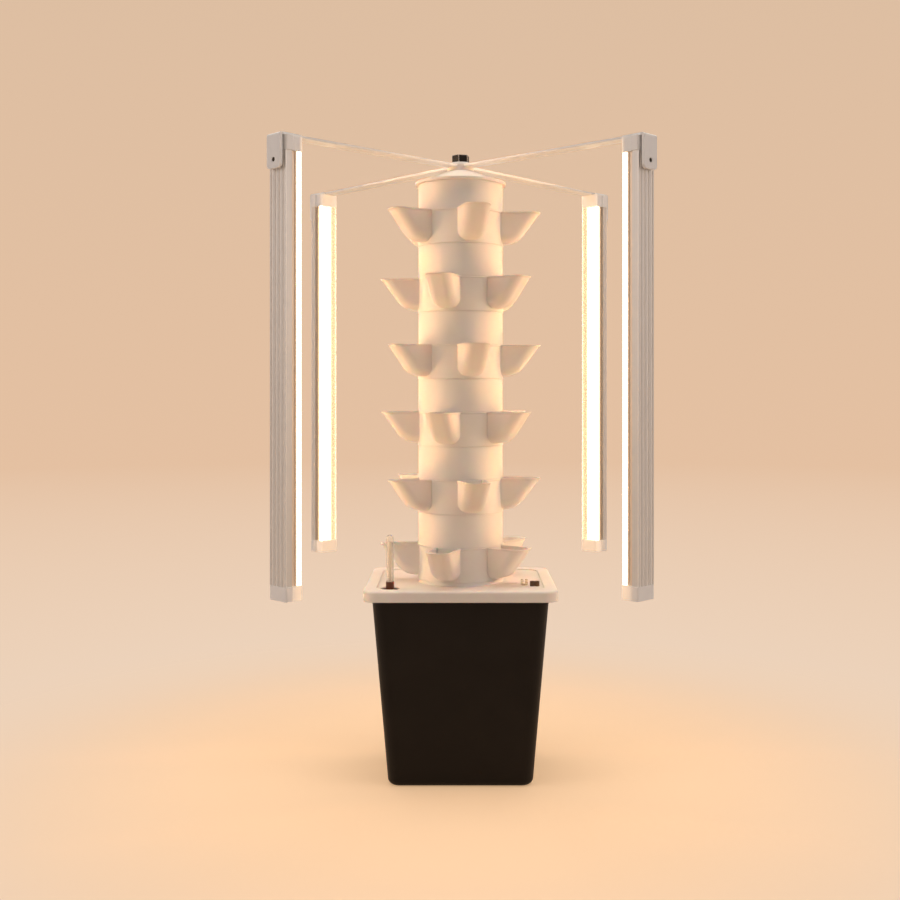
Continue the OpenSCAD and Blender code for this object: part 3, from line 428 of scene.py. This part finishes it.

# Light bars. Extruded aluminium backs with grooves and fine draw lines, with painted light in the
# grooves and along the back's edges against their shade, and a neck behind the diffuser painted
# tan, darker at its outer end as painted shade and paler towards the diffuser as painted lamp
# light; closed by milky plastic end caps with a painted highlight on their edges and a painted glow
# next to the diffuser; inside each lies a lit white board.
FRAME_TURN = 0.54
FIRST_CORNER = -135
BACK_FACE = 0.41025
GROOVE_DEEP = 0.0012
GROOVE_LIP = 0.0001
GROOVE_PAINTED_LIGHT = (0.97, 0.96, 0.95)
NECK_START = 0.3977
NECK_DEEP = 0.009
NECK_LINE = 0.0006
NECK_SHADE = (0.74, 0.57, 0.40)
NECK_LIT = (0.95, 0.86, 0.76)
CAP_PAINTED_GLOW = (1.0, 0.62, 0.32)
CAP_PAINTED_GLOW_LEVEL = 0.40
BOARD_LIGHT = (1.0, 0.86, 0.70)
BOARD_LEVEL = 2.6


def bar_turn(k):
    """Where bar k stands round the tower, in radians from the right."""
    return math.radians(FRAME_TURN + FIRST_CORNER + 90 * (k - 1))


def bar_frame(tree, socket, turn):
    """Vector parts in a bar's own frame: X outwards from the tower, Y across, Z up."""
    spin = node_of(tree, "VectorRotate", rotation_type="Z_AXIS")
    spin.inputs["Angle"].default_value = -turn
    tree.links.new(node_of(tree, "TexCoord").outputs[socket], spin.inputs["Vector"])
    parts = node_of(tree, "SeparateXYZ")
    tree.links.new(spin.outputs["Vector"], parts.inputs[0])
    return parts.outputs


def step_between(tree, amount, start, end):
    """Soft step from 0 at start to 1 at end."""
    return spread_between(tree, amount, start, end, shape="SMOOTHSTEP")


for k in CORNERS:
    bar_finish, bar_shader = new_finish(
        "satin_aluminium_%d" % k, (0.63, 0.63, 0.63), (0.675, 0.675, 0.675), patch=0.0016,
        polish=(0.36, 0.50), polish_patch=0.0009, grain=0.0007, grain_deep=0.00004, edge=0.0004,
        along=(0.003, 0.004, 0.002), metallic=0.3)
    tree = bar_finish.node_tree
    drawn = bar_shader.inputs["Base Color"].links[0].from_socket
    outwards = bar_frame(tree, "Object", bar_turn(k))["X"]
    # Painted light: the grooves and a thin band along the back's edges are painted pale, cancelling
    # the shade that falls in them.
    under_back = step_between(
        tree, outwards, BACK_FACE - GROOVE_LIP, BACK_FACE - 0.8 * GROOVE_DEEP)
    over_floor = step_between(
        tree, outwards, BACK_FACE - 1.4 * GROOVE_DEEP, BACK_FACE - 1.1 * GROOVE_DEEP)
    groove_light_mask = reckon(tree, "MULTIPLY", under_back, over_floor)
    groove_lit = mix_colours(tree, groove_light_mask, drawn, (*GROOVE_PAINTED_LIGHT, 1))
    # Painted shade and light: the neck is painted tan, darker at its outer end as painted shade and
    # paler towards the diffuser as painted warm lamp light.
    along_neck = step_between(tree, outwards, NECK_START, NECK_START - NECK_DEEP)
    neck_painted_light = run_of_colours(tree, along_neck, (0, NECK_SHADE), (1, NECK_LIT))
    on_neck = step_between(tree, outwards, NECK_START, NECK_START - NECK_LINE)
    tree.links.new(mix_colours(tree, on_neck, groove_lit, neck_painted_light), bar_shader.inputs["Base Color"])
    dress(bar_finish, "led_housing_%d" % k)

for end, glow_start, glow_full in (("top", 0.384, 0.3775), ("bottom", 0.404, 0.382)):
    cap_finish, cap_shader = new_finish(
        "pale_%s_cap" % end, (0.90, 0.91, 0.92), (0.94, 0.95, 0.96), patch=0.03,
        polish=(0.40, 0.54), polish_patch=0.012, grain=0.001, grain_deep=0.00004, edge=0.0008)
    # Painted highlight: the caps' edges are painted paler.
    edge_wear_and_highlight(cap_finish, cap_shader, (0.97, 0.97, 0.97), reach=0.0014)
    tree = cap_finish.node_tree
    level = node_of(tree, "VectorMath", operation="MULTIPLY")
    level.inputs[1].default_value = (1, 1, 0)
    tree.links.new(node_of(tree, "TexCoord").outputs["Object"], level.inputs[0])
    from_tower = node_of(tree, "VectorMath", operation="LENGTH")
    tree.links.new(level.outputs["Vector"], from_tower.inputs[0])
    # Painted glow: next to the diffuser the caps give out light, an emission standing in for the
    # lamps' light falling on them.
    near_diffuser = step_between(tree, from_tower.outputs["Value"], glow_start, glow_full)
    cap_painted_glow = reckon(tree, "MULTIPLY", near_diffuser, CAP_PAINTED_GLOW_LEVEL)
    tree.links.new(cap_painted_glow, cap_shader.inputs["Emission Strength"])
    cap_shader.inputs["Emission Color"].default_value = (*CAP_PAINTED_GLOW, 1)
    dress(cap_finish, *["led_%s_cap_%d" % (end, k) for k in CORNERS])

board_finish, board_shader = new_finish(
    "white_led_board", (0.80, 0.79, 0.72), (0.88, 0.87, 0.82), patch=0.006,
    polish=(0.34, 0.46), polish_patch=0.004, grain=0.0006, grain_deep=0.00002, edge=0.0003)
board_shader.inputs["Emission Color"].default_value = (*BOARD_LIGHT, 1)
board_shader.inputs["Emission Strength"].default_value = BOARD_LEVEL
dress(board_finish, *["led_board_%d" % k for k in CORNERS])

# Diffusers. Frosted polycarbonate troughs over the lit boards: the board shows white through the
# front, and the sides glow white too, warmer and dimmer next to the housing.
DIFFUSER_BASE = 0.38825
BASE_LINE = 0.0002
BASE_FADE = 0.0040
SIDE_SPAN = (0.006, 0.016)
DIFFUSER_TINT = (0.97, 0.91, 0.80)
GLOW_FRONT = (0.018, 0.014, 0.010)
GLOW_BASE = (0.240, 0.150, 0.070)
GLOW_HALF = (0.500, 0.330, 0.180)
GLOW_SIDE = (1.0, 0.72, 0.44)
GLOW_LEVEL = 3.2
for k in CORNERS:
    glow_finish, glow_shader = new_finish(
        "lit_diffuser_%d" % k, DIFFUSER_TINT, DIFFUSER_TINT,
        polish=(0.20, 0.32), polish_patch=0.003, grain=0.0012, grain_deep=0.00003, edge=0.0006)
    glow_shader.inputs["Transmission Weight"].default_value = 0.85
    glow_shader.inputs["IOR"].default_value = 1.15
    tree = glow_finish.node_tree
    spot = bar_frame(tree, "Object", bar_turn(k))
    facing = bar_frame(tree, "Normal", bar_turn(k))
    off_base = step_between(tree, spot["X"], DIFFUSER_BASE - BASE_LINE, DIFFUSER_BASE - BASE_FADE)
    side = run_of_colours(tree, off_base, (0, GLOW_BASE), (0.5, GLOW_HALF), (1, GLOW_SIDE))
    across = reckon(tree, "MULTIPLY", spot["Y"], facing["Y"])
    sideways = step_between(tree, across, *SIDE_SPAN)
    glow = mix_colours(tree, sideways, (*GLOW_FRONT, 1), side)
    tree.links.new(glow, glow_shader.inputs["Emission Color"])
    glow_shader.inputs["Emission Strength"].default_value = GLOW_LEVEL
    dress(glow_finish, "led_diffuser_%d" % k)

# Bracket screws. A blackened pan-head screw with a cross recess holds each bracket to the back of
# its light bar; the head sinks into the bracket and the shank runs through its boss.
SCREW_HEIGHT = 1.0527
SCREW_SEAT = 0.41715
SCREW_TWIST = 20
HEAD_R = 0.0036
HEAD_T = 0.0014
HEAD_STRAIGHT = 0.4
HEAD_ROUNDING = 0.0008
SHANK_R = 0.002
SHANK_L = 0.0106
TIP_SHARE = 0.8
TIP_L = 0.0006
CROSS_REACH = 0.0021
CROSS_HALF = 0.00045
CROSS_DEEP = 0.0008
CROSS_FLOOR_SHARE = 0.8


def ring_of(screw, radius, level, count=32):
    return [screw.verts.new((radius * math.cos(a), radius * math.sin(a), level))
            for a in (2 * math.pi * n / count for n in range(count))]


def skin_between(screw, low, high):
    for n in range(len(low)):
        m = (n + 1) % len(low)
        screw.faces.new((low[n], low[m], high[m], high[n]))


def make_screw(screw):
    """Outline of one screw, its head's seat at the origin and its head along +Z."""
    tip = ring_of(screw, SHANK_R * TIP_SHARE, -SHANK_L)
    rings = [tip, ring_of(screw, SHANK_R, TIP_L - SHANK_L), ring_of(screw, SHANK_R, 0),
             ring_of(screw, HEAD_R, 0), ring_of(screw, HEAD_R, HEAD_T * HEAD_STRAIGHT)]
    for a in (math.radians(30), math.radians(60), math.radians(90)):
        rings.append(ring_of(screw, HEAD_R - HEAD_ROUNDING * (1 - math.cos(a)),
                             HEAD_T * (HEAD_STRAIGHT + (1 - HEAD_STRAIGHT) * math.sin(a))))
    for low, high in zip(rings, rings[1:]):
        skin_between(screw, low, high)
    screw.faces.new(tip[::-1])
    r, h = CROSS_REACH, CROSS_HALF
    arm = [(r, -h), (r, h), (h, h)]
    cross = []
    for _ in range(4):
        cross += arm
        arm = [(-y, x) for x, y in arm]
    mouth = [screw.verts.new((x, y, HEAD_T)) for x, y in cross]
    floor_of_cross = [
        screw.verts.new((x * CROSS_FLOOR_SHARE, y * CROSS_FLOOR_SHARE, HEAD_T - CROSS_DEEP))
        for x, y in cross]
    skin_between(screw, floor_of_cross, mouth)
    screw.faces.new(floor_of_cross)
    edges = [screw.edges.get((line[n], line[(n + 1) % len(line)]))
             for line in (rings[-1], mouth) for n in range(len(line))]
    bmesh.ops.triangle_fill(screw, use_beauty=True, edges=edges)


screws_mesh = bpy.data.meshes.new("cross_head_screws")
all_screws = bmesh.new()
for k in CORNERS:
    one = bmesh.new()
    make_screw(one)
    one.transform(Matrix.Rotation(bar_turn(k), 4, "Z")
                  @ Matrix.Translation(Vector((SCREW_SEAT, 0, SCREW_HEIGHT)))
                  @ Matrix.Rotation(math.radians(90), 4, "Y")
                  @ Matrix.Rotation(math.radians(SCREW_TWIST), 4, "Z"))
    bmesh.ops.recalc_face_normals(one, faces=one.faces)
    one.to_mesh(screws_mesh)
    all_screws.from_mesh(screws_mesh)
    one.free()
all_screws.to_mesh(screws_mesh)
all_screws.free()
screws = bpy.data.objects.new("cross_head_screws", screws_mesh)
scene.collection.objects.link(screws)
screw_finish, screw_shader = new_finish(
    "black_screw", (0.022, 0.019, 0.017), (0.05, 0.044, 0.04), patch=0.002,
    polish=(0.3, 0.46), polish_patch=0.001, grain=0.0006, grain_deep=0.00002, edge=0.0002,
    metallic=1.0)
edge_wear_and_highlight(screw_finish, screw_shader, (0.16, 0.15, 0.14), reach=0.0003)
screws_mesh.materials.append(screw_finish)
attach(screws, "light_frame")
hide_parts("bracket_screws")
